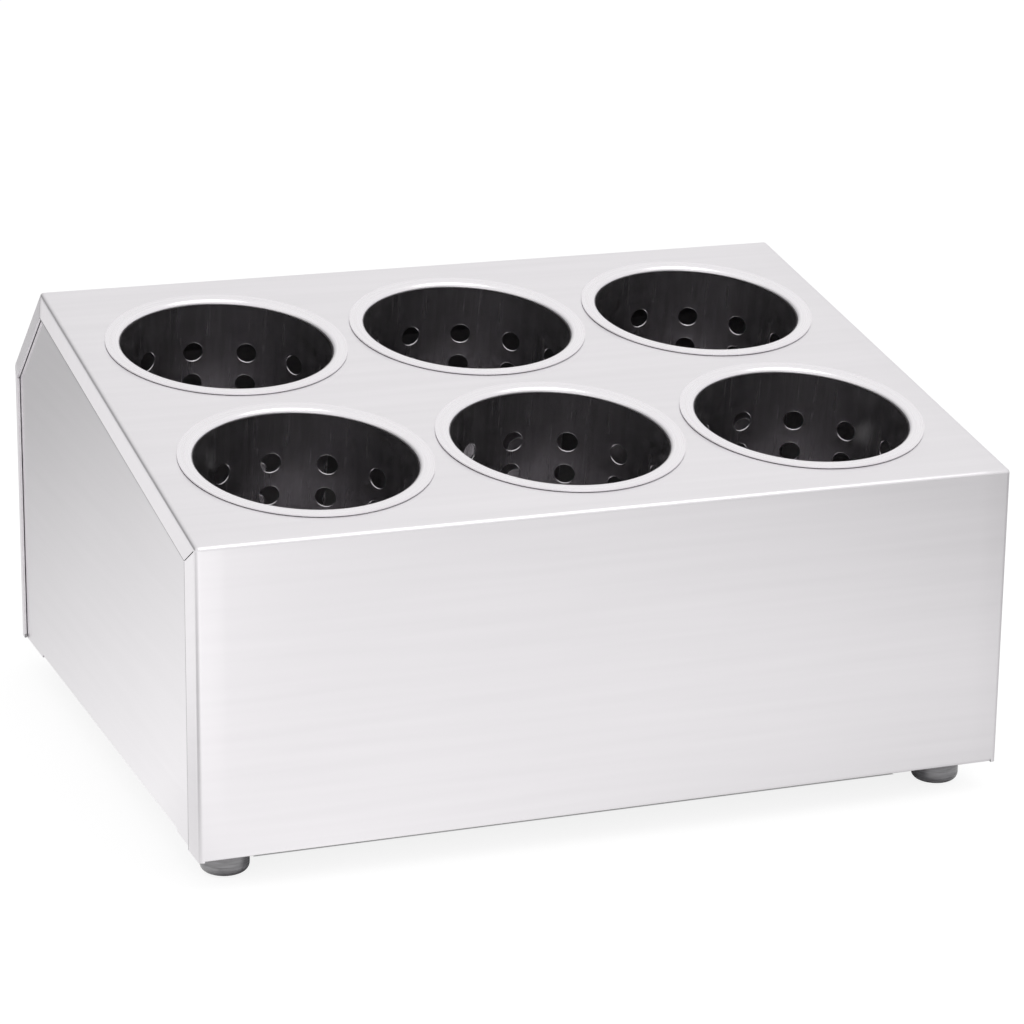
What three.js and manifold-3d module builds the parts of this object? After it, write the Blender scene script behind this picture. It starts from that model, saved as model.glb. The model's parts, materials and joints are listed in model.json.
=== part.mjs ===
// Cutlery holder: six perforated cups hang by their rims in the raked top of a folded sheet casing.
// Millimetres. +X runs along the front, +Y from the front to the back and +Z up.
// The origin is on the table, under the middle of the casing.
import * as THREE from 'three';
import { mergeVertices, toCreasedNormals } from 'three/addons/utils/BufferGeometryUtils.js';
import Module from 'manifold-3d';

const wasm = await Module();
wasm.setup();

// Clearances
const seatGap = 0.3; // between two pieces that rest on or lie against each other
const overrun = 6; // how far a cutting solid runs past what it cuts
const weld = 0.0005; // vertices closer than this are one

// Cup, drawn from one disc of sheet
const cupSheet = 0.7;
const cupBore = 49.9; // inside radius of the wall
const cupHeight = 137; // from the top of the rim to the underside of the floor
const cupFloorBend = 6; // inside radius between the wall and the floor
const rimWidth = 7.1; // from the bore to the edge of the rim
const rimBend = 1.6; // outside radius between the wall and the rim
const cupSides = 24;
const cupBendSteps = 1;

// Round perforations in the cup's wall and floor
const perforationRadius = 4.75;
const perforationSides = 6;
const perforationsAround = 12;
const perforationRows = 4;
const firstRowDepth = 27; // from the top of the rim to the middle of the first row
const perforationRowPitch = 16.5;
const floorPerforations = 4; // on a ring, with one more in the middle
const floorRingRadius = 25;

// The cups, row by row from the front. Each one is dropped in by hand, so its rows of perforations
// are turned a little, in degrees.
const cupNames = [
  ['cup_front_left', 'cup_front_middle', 'cup_front_right'],
  ['cup_rear_left', 'cup_rear_middle', 'cup_rear_right'],
];
const cupTurns = [
  [0, 2.7, 6.5],
  [1.6, 12.2, 9],
];

// The space left round the rims, and the holes under them
const rimSpaceAcross = 6.4;
const rimSpaceAlong = 11.3;
const sideMargin = 14.6; // from an outer rim to the casing's side
const frontMargin = 16.1; // from a front rim to the fold over the front, along the rake
const rearMargin = 17.9; // from a rear rim to the crest, along the rake
const holeClearance = 0.8; // between the casing's hole and the bend under the rim
const holeSides = 16;

// Casing: front, raked top, rear chamfer and back are one folded sheet
const sheet = 1;
const bendInside = 1; // inside radius of each fold
const bendSteps = 2;
const rakeDegrees = 10.7;
const cupGroundClearance = 11.6; // from the casing's bottom edge to the lowest cup
const chamferRun = 59.5;
const chamferDrop = 49;
const frontFlange = 17; // side returns of the four faces
const topFlange = 13.4;
const chamferFlange = 8.5;
const backFlange = 6;
const mitreGap = 0.5; // open joint between two side returns
const lipWidth = 38; // bottom lip of the front and the back, which carries the feet
const sideLipWidth = 20; // bottom lip of a side panel
const lipEndGap = 1.5; // between the end of a side panel's lip and the lips beside it

// Rubber feet, each held by a screw, a washer in the foot's recess and a nut on the lip
const footRadius = 11;
const footHeight = 14.5; // from the table to the casing's bottom edge
const footEdge = 3.8; // rounding between the foot's side and its sole
const footSides = 12;
const footFromSide = 18.5; // from the casing's side to the middle of a front foot
const rearFootFromSide = 32; // the rear feet stand further in, hidden behind the sides
const footFromFront = 25; // from the casing's front or back to the middle of the foot
const screwRadius = 2;
const screwHeadRadius = 4;
const screwHeadHeight = 2.4;
const screwHeadEdge = 1.4; // rounding of the pan head
const screwHeadInset = 6; // how far the head stays above the table
const screwPoint = 0.5; // chamfer at the screw's end
const screwProud = 1.4; // how far the screw stands out of its nut
const screwSides = 8;
const driveWidth = 0.9; // cross recess in the head
const driveSpan = 4.2;
const driveDepth = 1.1;
const washerRadius = 4.5;
const washerThickness = 0.8;
const recessClearance = 0.5; // between the washer and the recess round it
const nutAcrossFlats = 7;
const nutHeight = 3.2;
const nutSides = 6;

const satinSteel = { color: 0xd8d7da, roughness: 0.34, metalness: 1 };
const cupSteel = { color: 0xc9c8cb, roughness: 0.22, metalness: 1 };
const zincSteel = { color: 0xb4b4b0, roughness: 0.4, metalness: 1 };
const greyRubber = { color: 0x5d5c5f, roughness: 0.6, metalness: 0 };
const creaseAngle = THREE.MathUtils.degToRad(32);

// What follows from those sizes
const cupOuter = cupBore + cupSheet;
const rimRadius = cupBore + rimWidth;
const rimUnderside = seatGap; // above the casing's top
const rimTop = rimUnderside + cupSheet;
const cupDrop = cupHeight - rimTop; // the cup's reach below the casing's top
const columns = cupNames[0].length;
const rows = cupNames.length;
const columnPitch = 2 * rimRadius + rimSpaceAcross;
const rowPitch = 2 * rimRadius + rimSpaceAlong;
const frontRowAlong = frontMargin + rimRadius;
const rake = THREE.MathUtils.degToRad(rakeDegrees);
const bendOutside = bendInside + sheet;
const casingWidth = (columns - 1) * columnPitch + 2 * (rimRadius + sideMargin);
const topLength = frontRowAlong + (rows - 1) * rowPitch + rimRadius + rearMargin;
const cupReach = cupDrop * Math.cos(rake) + cupOuter * Math.sin(rake);
const frontHeight = cupGroundClearance + cupReach - frontRowAlong * Math.sin(rake);
const crestDepth = topLength * Math.cos(rake);
const crestHeight = frontHeight + topLength * Math.sin(rake);
const casingDepth = crestDepth + chamferRun;
const backHeight = crestHeight - chamferDrop;
const boreRadius = screwRadius + seatGap; // round every screw
const sideWebInset = sheet + seatGap; // from the casing's side to the side panel
const lipEndInset = sideWebInset + sheet + seatGap; // from the casing's side to a lip's end
const recessRadius = washerRadius + recessClearance;
const recessDepth = screwHeadInset + screwHeadHeight + washerThickness + 2 * seatGap;

// The casing's outline from the side, as (depth, height), anticlockwise from the bottom at the front.
// Its edges are the open bottom, the back, the chamfer, the top and the front.
const outline = [
  new THREE.Vector2(0, 0),
  new THREE.Vector2(casingDepth, 0),
  new THREE.Vector2(casingDepth, backHeight),
  new THREE.Vector2(crestDepth, crestHeight),
  new THREE.Vector2(0, frontHeight),
];

// Solids

// A closed geometry as a solid: seams are welded, and triangles that close up to a line are dropped.
function solid(geometry) {
  const loose = geometry.index ? geometry.toNonIndexed() : geometry.clone();
  loose.deleteAttribute('normal');
  loose.deleteAttribute('uv');
  const welded = mergeVertices(loose, weld);
  const corners = welded.index.array;
  const faces = [];
  for (let i = 0; i < corners.length; i += 3) {
    const [a, b, c] = corners.slice(i, i + 3);
    if (a !== b && b !== c && c !== a) faces.push(a, b, c);
  }
  return new wasm.Manifold(
    new wasm.Mesh({
      numProp: 3,
      vertProperties: welded.attributes.position.array,
      triVerts: new Uint32Array(faces),
    })
  );
}

function named(name, body, look) {
  const { vertProperties, triVerts } = body.getMesh();
  const geometry = new THREE.BufferGeometry();
  geometry.setAttribute('position', new THREE.BufferAttribute(vertProperties, 3));
  geometry.setIndex(new THREE.BufferAttribute(triVerts, 1));
  const piece = new THREE.Mesh(
    toCreasedNormals(geometry, creaseAngle),
    new THREE.MeshStandardMaterial(look)
  );
  piece.name = name;
  return piece;
}

function joined(solids) {
  return solids.reduce((whole, one) => whole.add(one));
}

function arc(centreX, centreY, radius, fromDegrees, toDegrees, steps = bendSteps) {
  const points = [];
  for (let i = 0; i <= steps; i += 1) {
    const angle = THREE.MathUtils.degToRad(fromDegrees + ((toDegrees - fromDegrees) * i) / steps);
    points.push(
      new THREE.Vector2(centreX + radius * Math.cos(angle), centreY + radius * Math.sin(angle))
    );
  }
  return points;
}

// A solid of revolution about Z from a profile of (radius, height), with the middle of a side on +X.
function turned(profile, sides) {
  const geometry = new THREE.LatheGeometry(profile, sides);
  geometry.rotateX(Math.PI / 2);
  geometry.rotateZ(Math.PI / sides);
  return solid(geometry);
}

// How much wider a flat-sided shape is at its corners than the circle of the same area
function equalArea(sides) {
  return Math.sqrt((2 * Math.PI) / (sides * Math.sin((2 * Math.PI) / sides)));
}

// A prism along Z, between two heights, with the area of a round one
function peg(radius, sides, low, high) {
  const corner = radius * equalArea(sides);
  const geometry = new THREE.CylinderGeometry(corner, corner, high - low, sides);
  geometry.rotateX(Math.PI / 2);
  geometry.translate(0, 0, (low + high) / 2);
  return geometry;
}

// A tapered punch that points at the cup's axis from outside the wall, along X. It leaves a
// perforation of the stated radius in the wall's outer face.
function punch() {
  const tip = overrun;
  const base = cupOuter + overrun;
  const radius = (perforationRadius * (base - tip)) / (cupOuter - tip);
  const cone = new THREE.ConeGeometry(
    radius * equalArea(perforationSides),
    base - tip,
    perforationSides
  );
  cone.rotateZ(Math.PI / 2);
  return cone.translate((base + tip) / 2, 0, 0);
}

function block(low, high) {
  const size = new THREE.Vector3().subVectors(high, low);
  const geometry = new THREE.BoxGeometry(size.x, size.y, size.z);
  const middle = new THREE.Vector3().addVectors(low, high).divideScalar(2);
  geometry.translate(middle.x, middle.y, middle.z);
  return solid(geometry);
}

// Sheet outlines

function inwardNormal(from, to) {
  return new THREE.Vector2(from.y - to.y, to.x - from.x).normalize();
}

// Where a corner goes when the edge before it and the edge after it move inwards.
function movedCorner(points, i, distanceBefore, distanceAfter) {
  const before = inwardNormal(points[(i + points.length - 1) % points.length], points[i]);
  const after = inwardNormal(points[i], points[(i + 1) % points.length]);
  const cross = before.cross(after);
  return new THREE.Vector2(
    points[i].x + (distanceBefore * after.y - distanceAfter * before.y) / cross,
    points[i].y + (distanceAfter * before.x - distanceBefore * after.x) / cross
  );
}

// The outline with each edge moved inwards by its own distance.
function inset(points, distances) {
  return points.map((point, i) => {
    const before = distances[(i + points.length - 1) % points.length];
    return movedCorner(points, i, before, distances[i]);
  });
}

// The outline with its corners rounded by short flats that all touch the fold's circle.
function rounded(points, radius, flats = bendSteps) {
  return points.flatMap((point, i) => {
    const centre = movedCorner(points, i, radius, radius);
    const before = inwardNormal(points[(i + points.length - 1) % points.length], point);
    const after = inwardNormal(point, points[(i + 1) % points.length]);
    const start = before.negate().angle();
    const turn = Math.acos(before.dot(after.negate()));
    const reach = radius / Math.cos(turn / (2 * flats));
    return Array.from({ length: flats }, (none, step) => {
      const angle = start + (turn * (step + 1 / 2)) / flats;
      return new THREE.Vector2(
        centre.x + reach * Math.cos(angle),
        centre.y + reach * Math.sin(angle)
      );
    });
  });
}

// A side outline extruded along X, between two places, with its end edges rounded if it says so.
function across(points, low, high, edgeRadius = 0) {
  const geometry = new THREE.ExtrudeGeometry(new THREE.Shape(points), {
    depth: high - low - 2 * edgeRadius,
    bevelEnabled: edgeRadius > 0,
    bevelThickness: edgeRadius,
    bevelSize: edgeRadius,
    bevelOffset: -edgeRadius,
    bevelSegments: bendSteps,
  });
  geometry.translate(0, 0, low + edgeRadius);
  const axes = new THREE.Matrix4().makeBasis(
    new THREE.Vector3(0, 1, 0),
    new THREE.Vector3(0, 0, 1),
    new THREE.Vector3(1, 0, 0)
  );
  return solid(geometry.applyMatrix4(axes));
}

// A (width, height) outline extruded along Y, between two depths
function along(points, low, high) {
  const geometry = new THREE.ExtrudeGeometry(new THREE.Shape(points), {
    depth: high - low,
    bevelEnabled: false,
  });
  geometry.translate(0, 0, -high);
  return solid(geometry.rotateX(Math.PI / 2));
}

// Places in the casing, measured from its bottom edge at the front

const halfWidth = casingWidth / 2;
const rakedFrame = new THREE.Matrix4()
  .makeTranslation(0, 0, frontHeight)
  .multiply(new THREE.Matrix4().makeRotationX(rake));

function cupPlace(row, column) {
  const acrossPlace = (column - (columns - 1) / 2) * columnPitch;
  return new THREE.Vector3(acrossPlace, frontRowAlong + row * rowPitch, 0);
}

function eachCup(make) {
  return cupNames.flatMap((names, row) => names.map((name, column) => make(name, row, column)));
}

const footPlaces = {
  front_left: new THREE.Vector3(-halfWidth + footFromSide, footFromFront, 0),
  front_right: new THREE.Vector3(halfWidth - footFromSide, footFromFront, 0),
  rear_left: new THREE.Vector3(-halfWidth + rearFootFromSide, casingDepth - footFromFront, 0),
  rear_right: new THREE.Vector3(halfWidth - rearFootFromSide, casingDepth - footFromFront, 0),
};

// Casing shell: hollow between two rounded outlines, and open below apart from its two lips

// The space inside the sheet, which the lips close off at the front and at the back
function casingSpace() {
  const below = bendOutside + overrun;
  const tall = inset(outline, [-below, sheet, sheet, sheet, sheet]);
  const open = across(
    rounded(tall, bendInside),
    -halfWidth + sheet,
    halfWidth - sheet,
    bendInside
  );
  const foldMiddle = sheet + bendInside;
  const tray = [
    new THREE.Vector2(-overrun, -below - overrun),
    new THREE.Vector2(casingDepth + overrun, -below - overrun),
    new THREE.Vector2(casingDepth + overrun, foldMiddle),
    ...arc(casingDepth - foldMiddle, foldMiddle, bendInside, 0, -90),
    ...arc(foldMiddle, foldMiddle, bendInside, 270, 180),
    new THREE.Vector2(-overrun, foldMiddle),
  ];
  return open.subtract(across(tray, -halfWidth + lipEndInset, halfWidth - lipEndInset));
}

// What lies outside the folds of the front and rear lips
function lipFoldWaste() {
  const corner = [
    new THREE.Vector2(-overrun, -overrun),
    new THREE.Vector2(bendOutside, -overrun),
    ...arc(bendOutside, bendOutside, bendOutside, 270, 180),
    new THREE.Vector2(-overrun, bendOutside),
  ];
  const rearCorner = corner.map((point) => new THREE.Vector2(casingDepth - point.x, point.y));
  return joined(
    [corner, rearCorner].map((points) =>
      across(points, -halfWidth + lipEndInset, halfWidth - lipEndInset)
    )
  );
}

// The open part of each side, and the open mitres between the side returns round it
function sideOpenings() {
  const openEdge = -overrun;
  const flanges = [openEdge, backFlange, chamferFlange, topFlange, frontFlange];
  const window = inset(outline, flanges);
  const folds = inset(outline, [openEdge, sheet, sheet, sheet, sheet]);
  const mitres = window.slice(2).map((corner, i) => {
    const slant = new THREE.Vector2().subVectors(folds[i + 2], corner).normalize();
    const half = new THREE.Vector2(-slant.y, slant.x).multiplyScalar(mitreGap / 2);
    const start = corner.clone().addScaledVector(slant, -mitreGap);
    return [
      start.clone().add(half),
      start.clone().sub(half),
      folds[i + 2].clone().sub(half),
      folds[i + 2].clone().add(half),
    ];
  });
  const inner = halfWidth - sideWebInset;
  const outer = halfWidth + overrun;
  return joined(
    [window, ...mitres].flatMap((points) => [
      across(points, inner, outer),
      across(points, -outer, -inner),
    ])
  );
}

function shellSolid() {
  const below = bendOutside + overrun;
  const tall = inset(outline, [-below, 0, 0, 0, 0]);
  const windowSide = halfWidth - sideWebInset;
  const lipBores = Object.values(footPlaces).map((place) =>
    solid(peg(boreRadius, screwSides, -overrun, overrun).translate(place.x, place.y, 0))
  );
  const holeRadius = cupOuter + rimBend + holeClearance;
  const cupHoles = eachCup((name, row, column) => {
    const place = cupPlace(row, column);
    const hole = peg(holeRadius, holeSides, -overrun, overrun).translate(place.x, place.y, 0);
    return solid(hole.applyMatrix4(rakedFrame));
  });
  return across(rounded(tall, bendOutside), -halfWidth, halfWidth, bendOutside)
    .subtract(
      block(
        new THREE.Vector3(-halfWidth - overrun, -overrun, -below - overrun),
        new THREE.Vector3(halfWidth + overrun, casingDepth + overrun, 0)
      )
    )
    .subtract(casingSpace())
    .subtract(lipFoldWaste())
    .subtract(
      block(
        new THREE.Vector3(-windowSide, lipWidth, -overrun),
        new THREE.Vector3(windowSide, casingDepth - lipWidth, sheet + overrun)
      )
    )
    .subtract(sideOpenings())
    .subtract(joined([...lipBores, ...cupHoles]));
}

// Side panel: a web behind the side returns, with a bottom lip folded in between the other lips

function sidePanelSolid(side) {
  const edge = sheet + bendInside;
  const web = inset(outline, [0, edge, edge, edge, edge]);
  const outerFace = halfWidth - sideWebInset;
  const innerFace = outerFace - sheet;
  const lipTip = outerFace - sideLipWidth;
  const lipFrom = lipWidth + lipEndGap;
  const lipTo = casingDepth - lipWidth - lipEndGap;
  const foldMiddle = outerFace - bendOutside;
  const onSide = (points) => points.map((point) => new THREE.Vector2(side * point.x, point.y));

  const reach = [side * lipTip, side * outerFace];
  const blank = across(web, Math.min(...reach), Math.max(...reach));
  const roomInside = [
    new THREE.Vector2(lipTip - overrun, -overrun),
    new THREE.Vector2(innerFace, -overrun),
    new THREE.Vector2(innerFace, crestHeight),
    new THREE.Vector2(lipTip - overrun, crestHeight),
  ];
  const lipBlock = [
    new THREE.Vector2(lipTip - overrun, -2 * overrun),
    new THREE.Vector2(outerFace + overrun, -2 * overrun),
    new THREE.Vector2(outerFace + overrun, bendOutside),
    ...arc(foldMiddle, bendOutside, bendInside, 0, -90),
    new THREE.Vector2(lipTip - overrun, sheet),
  ];
  const foldWaste = [
    new THREE.Vector2(outerFace + overrun, -overrun),
    new THREE.Vector2(outerFace + overrun, bendOutside),
    ...arc(foldMiddle, bendOutside, bendOutside, 0, -90),
    new THREE.Vector2(foldMiddle, -overrun),
  ];
  const hollow = along(onSide(roomInside), -overrun, casingDepth + overrun).subtract(
    along(onSide(lipBlock), lipFrom, lipTo)
  );
  return blank.subtract(hollow).subtract(along(onSide(foldWaste), lipFrom, lipTo));
}

// Cup: its profile is turned, and its wall and floor are perforated

function cupSolid() {
  const bottom = rimTop - cupHeight;
  const outerFloorBend = cupFloorBend + cupSheet;
  const rimInnerBend = rimBend + cupSheet;
  const floorBendHeight = bottom + outerFloorBend;
  const bend = (...measures) => arc(...measures, cupBendSteps);
  const profile = [
    new THREE.Vector2(0, bottom),
    ...bend(cupOuter - outerFloorBend, floorBendHeight, outerFloorBend, -90, 0),
    ...bend(cupOuter + rimBend, rimUnderside - rimBend, rimBend, 180, 90),
    new THREE.Vector2(rimRadius, rimUnderside),
    new THREE.Vector2(rimRadius, rimTop),
    ...bend(cupBore + rimInnerBend, rimTop - rimInnerBend, rimInnerBend, 90, 180),
    ...bend(cupBore - cupFloorBend, floorBendHeight, cupFloorBend, 0, -90),
    new THREE.Vector2(0, bottom + cupSheet),
  ];
  const wallPunches = [];
  for (let row = 0; row < perforationRows; row += 1) {
    const height = rimTop - firstRowDepth - row * perforationRowPitch;
    for (let i = 0; i < perforationsAround; i += 1) {
      const wallPunch = punch().translate(0, 0, height);
      wallPunches.push(wallPunch.rotateZ((2 * Math.PI * i) / perforationsAround));
    }
  }
  const floorPeg = peg(perforationRadius, perforationSides, bottom - overrun, bottom + overrun);
  const floorPegs = [floorPeg];
  for (let i = 0; i < floorPerforations; i += 1) {
    const onRing = floorPeg.clone().translate(floorRingRadius, 0, 0);
    floorPegs.push(onRing.rotateZ((2 * Math.PI * i) / floorPerforations));
  }
  return turned(profile, cupSides).subtract(joined([...wallPunches, ...floorPegs].map(solid)));
}

// Feet and their fasteners, each standing on the table round its own axis

function footSolid() {
  const top = footHeight - seatGap;
  const profile = [
    new THREE.Vector2(boreRadius, recessDepth),
    new THREE.Vector2(recessRadius, recessDepth),
    new THREE.Vector2(recessRadius, 0),
    ...arc(footRadius - footEdge, footEdge, footEdge, -90, 0),
    new THREE.Vector2(footRadius, top),
    new THREE.Vector2(boreRadius, top),
    new THREE.Vector2(boreRadius, recessDepth),
  ];
  return turned(profile, footSides);
}

function washerSolid() {
  const top = recessDepth - seatGap;
  const bottom = top - washerThickness;
  const profile = [
    new THREE.Vector2(boreRadius, bottom),
    new THREE.Vector2(washerRadius, bottom),
    new THREE.Vector2(washerRadius, top),
    new THREE.Vector2(boreRadius, top),
    new THREE.Vector2(boreRadius, bottom),
  ];
  return turned(profile, screwSides);
}

const nutBottom = footHeight + sheet + seatGap;

function screwSolid() {
  const headTop = screwHeadInset + screwHeadHeight;
  const end = nutBottom + nutHeight + screwProud;
  const profile = [
    new THREE.Vector2(0, screwHeadInset),
    ...arc(
      screwHeadRadius - screwHeadEdge,
      screwHeadInset + screwHeadEdge,
      screwHeadEdge,
      -90,
      0
    ),
    new THREE.Vector2(screwHeadRadius, headTop),
    new THREE.Vector2(screwRadius, headTop),
    new THREE.Vector2(screwRadius, end - screwPoint),
    new THREE.Vector2(screwRadius - screwPoint, end),
    new THREE.Vector2(0, end),
  ];
  const driveTop = screwHeadInset + driveDepth;
  const slot = (halfX, halfY) =>
    block(
      new THREE.Vector3(-halfX, -halfY, -overrun),
      new THREE.Vector3(halfX, halfY, driveTop)
    );
  return turned(profile, screwSides)
    .subtract(slot(driveSpan / 2, driveWidth / 2))
    .subtract(slot(driveWidth / 2, driveSpan / 2));
}

function nutSolid() {
  const corner = nutAcrossFlats / (2 * Math.cos(Math.PI / nutSides));
  const hexagon = new THREE.CylinderGeometry(corner, corner, nutHeight, nutSides);
  hexagon.rotateX(Math.PI / 2).translate(0, 0, nutBottom + nutHeight / 2);
  const bore = peg(boreRadius, screwSides, nutBottom - overrun, nutBottom + nutHeight + overrun);
  return solid(hexagon).subtract(solid(bore));
}

// Assembly

const holder = new THREE.Group();

const casing = new THREE.Group();
casing.position.set(0, -casingDepth / 2, footHeight);
casing.add(named('casing_shell', shellSolid(), satinSteel));
casing.add(named('side_panel_left', sidePanelSolid(-1), satinSteel));
casing.add(named('side_panel_right', sidePanelSolid(1), satinSteel));
holder.add(casing);

const rakedTop = new THREE.Group();
rakedTop.applyMatrix4(rakedFrame);
casing.add(rakedTop);
const cupShape = cupSolid();
eachCup((name, row, column) => {
  const cup = named(name, cupShape, cupSteel);
  cup.position.copy(cupPlace(row, column));
  cup.rotation.z = THREE.MathUtils.degToRad(cupTurns[row][column]);
  rakedTop.add(cup);
});

const fastening = [
  ['foot', footSolid(), greyRubber],
  ['foot_washer', washerSolid(), zincSteel],
  ['foot_screw', screwSolid(), zincSteel],
  ['foot_nut', nutSolid(), zincSteel],
];
for (const [corner, place] of Object.entries(footPlaces)) {
  for (const [kind, body, look] of fastening) {
    const piece = named(kind + '_' + corner, body, look);
    piece.position.set(place.x, place.y - casingDepth / 2, 0);
    holder.add(piece);
  }
}

export default holder;
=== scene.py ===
# Cutlery holder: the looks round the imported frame. Metres, +X along the front, +Y to the back, +Z up.
import json
import math

import bmesh
import bpy
from mathutils import Matrix, Vector


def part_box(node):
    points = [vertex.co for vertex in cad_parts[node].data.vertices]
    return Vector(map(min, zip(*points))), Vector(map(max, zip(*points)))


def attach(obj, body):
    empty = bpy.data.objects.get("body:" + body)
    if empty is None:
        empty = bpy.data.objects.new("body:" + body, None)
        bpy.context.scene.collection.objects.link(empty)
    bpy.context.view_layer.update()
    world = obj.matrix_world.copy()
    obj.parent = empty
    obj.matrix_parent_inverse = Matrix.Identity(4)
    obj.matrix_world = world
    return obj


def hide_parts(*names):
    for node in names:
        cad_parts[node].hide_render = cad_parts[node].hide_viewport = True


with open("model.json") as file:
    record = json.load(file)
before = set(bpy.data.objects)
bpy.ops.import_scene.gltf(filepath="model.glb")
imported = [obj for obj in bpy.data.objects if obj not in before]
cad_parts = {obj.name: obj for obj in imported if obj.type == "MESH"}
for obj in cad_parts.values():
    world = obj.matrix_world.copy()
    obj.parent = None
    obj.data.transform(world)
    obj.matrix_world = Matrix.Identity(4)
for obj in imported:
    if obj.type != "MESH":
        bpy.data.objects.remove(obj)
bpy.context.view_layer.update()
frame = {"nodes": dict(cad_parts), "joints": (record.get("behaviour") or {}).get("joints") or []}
scene = bpy.context.scene

# Camera, fitted to the casing's corners and the cups' rims, in degrees and metres
CAMERA_YAW = 21.0
CAMERA_PITCH = 16.467
CAMERA_ROLL = 0.702
CAMERA_DISTANCE = 1.6686
CAMERA_TARGET = Vector((0.0016, -0.0281, 0.1008))  # its height is over the casing's bottom edge
CAMERA_LENS_MM = 123.96
CAMERA_SENSOR_MM = 36

# Casing
CASING_SHEET = 0.001
BEND = 0.002  # outside radius of a fold
CHAMFER_RUN = 0.0595
CHAMFER_DROP = 0.049
FRONT_HEIGHT = 0.14106  # of the casing's front, above its bottom edge
FRONT_FLANGE = 0.017  # side returns of the four faces
TOP_FLANGE = 0.0134
CHAMFER_FLANGE = 0.0085
BACK_FLANGE = 0.006
MITRE_GAP = 0.0005
LIP_WIDTH = 0.038
LIP_END_INSET = 0.0026
HOLE_RADIUS = 0.053
SHADE_STRIP_WIDTH = 0.0007  # of the strip along a return's free edge, painted darker as the shade line at its joint with the panel

# Cups
CUP_SHEET = 0.0007
CUP_BORE = 0.0499
CUP_HEIGHT = 0.137
CUP_FLOOR_BEND = 0.006
RIM_WIDTH = 0.0071
RIM_TOP = 0.001  # above the casing's top
RIM_BEND = 0.0023  # radius of the rim's upper face where it turns down into the bore
FRONT_ROW = 0.0731  # along the rake, from the fold over the front
ROW_PITCH = 0.1253
CUP_ROWS = 2
PERFORATION = 0.00475  # radius
PERFORATION_DISH = 0.0003  # the sheet dips round a punched hole, over the next width
PERFORATION_DISH_WIDTH = 0.0005
PERFORATIONS_AROUND = 12
PERFORATION_ROWS = 4
FIRST_ROW_DEPTH = 0.027  # from the rim down to the middles of the first perforations
PERFORATION_ROW_PITCH = 0.0165
FLOOR_PERFORATIONS = 4  # in a ring round the middle one
FLOOR_RING = 0.025
CUP_TURNS = {
    "cup_front_left": 0,
    "cup_front_middle": 2.7,
    "cup_front_right": 6.5,
    "cup_rear_left": 1.6,
    "cup_rear_middle": 12.2,
    "cup_rear_right": 9,
}

# Feet and washers
FOOT_RADIUS = 0.011
FOOT_EDGE = 0.0038
FOOT_TOP_EDGE = 0.0006
RECESS_RADIUS = 0.005
SHANK_BORE = 0.0023
WASHER_RADIUS = 0.0045
WASHER_EDGE = 0.0002
SEAT_GAP = 0.0003

# Steps of the round forms
BEND_STEPS = 8
HOLE_STEPS = 16  # along each side of the square round a cup's hole
CUP_BEND_STEPS = 6
CELL_STEPS = 8  # along the upper and the lower side of the cell round a perforation
CELL_RISE_STEPS = 5
DISH_STEPS = 3
BORDER_STEPS = 2  # from a hole out to the border of its cell
FOOT_EDGE_STEPS = 8
FOOT_TOP_EDGE_STEPS = 4
WASHER_EDGE_STEPS = 2
ROUND_STEPS = 64  # of feet, washers and the floor

# Tolerances
SAME_POINT = 1e-7
WELD = 1e-6
ROUNDING = 1e-9
COLUMN_DIGITS = 4  # tell the cups' columns apart to a tenth of a millimetre
SHARP_ANGLE = math.radians(30)

# Places in a piece's list of materials
FACE = 0
EDGE = 1  # and the rim of a cup with its cut edges, in the rim's painted light
FAR_SIDE = 2
LIT_BACK_EDGE = 3  # behind the crest, in painted light

# Tones and roughness of the steel
SHEET_TONE = 0.9
# Painted shade: a darker copy of the sheet for the casing's inside
SHADED_INSIDE_TONE = 0.35
# The cups' one drawn sheet in two copies: painted shade on the wall and outside, painted light on the rim
# and cut edges
SHADED_WALL_TONE = 0.62
LIT_RIM_TONE = 0.97
# Painted shade: a darker copy of the steel for the cut edges and the returns' edge strips
SHADED_EDGE_TONE = 0.4
# Painted light: a lighter copy of the edge steel for the edges behind the crest
LIT_BACK_EDGE_TONE = 0.85
LILAC = (1, 0.975, 1)  # the steel's faint tint
SHEET_ROUGHNESS = 0.35
EDGE_ROUGHNESS = (0.35, 0.5)
INSIDE_ROUGHNESS = (0.4, 0.55)
WALL_ROUGHNESS = (0.16, 0.3)
RIM_ROUGHNESS = (0.22, 0.32)
CUP_OUTSIDE_ROUGHNESS = (0.3, 0.42)

# Most of what a noise gives lies between these two
NOISE_LOW = 0.3
NOISE_HIGH = 0.7

# Brushed sheet, its grain in waves per metre
SHELL_HAIR = (450, 10, 1)  # along the blank and across it
SHELL_BAND = (200, 9, 1)
PANEL_HAIR = (150, 10, 450)  # through the panel, along it and up it
PANEL_BAND = (65, 9, 200)
BAND_SHARE = 0.85
SHEET_CLOUD = 9
CLOUD_SHARE = 0.5
GRAIN_TONES = (0.985, 1.015)
GRAIN_ROUGHNESS = (0.28, 0.32)
CLOUD_ROUGHNESS = (0.27, 0.33)
SHEET_ANISOTROPY = 0.8
GRAIN_BUMP = (0.08, 0.00005)  # strength and height

# How the light finds the shell's faces and returns to be not quite flat
CROWN_WIDTH = 0.011  # beside a side fold the sheet falls away a little
CROWN_SLOPE = 0.042
CROWN_POWER = 1.5
RETURN_LEAN = 0.16  # the side returns, but not those of the chamfer, look a little to the front
LEAN_FADE = 0.006  # before a fold, where the lean ends or starts
FOLD_EDGE = 0.0004  # over which the lean sets in beside a fold

# Plain sheet, with its mottle and clouds in waves per metre
PLAIN_MOTTLE = 420
PLAIN_CLOUD = 30
PLAIN_TONES = (0.94, 1.06)
PLAIN_BUMP = (0.1, 0.00005)

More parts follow.
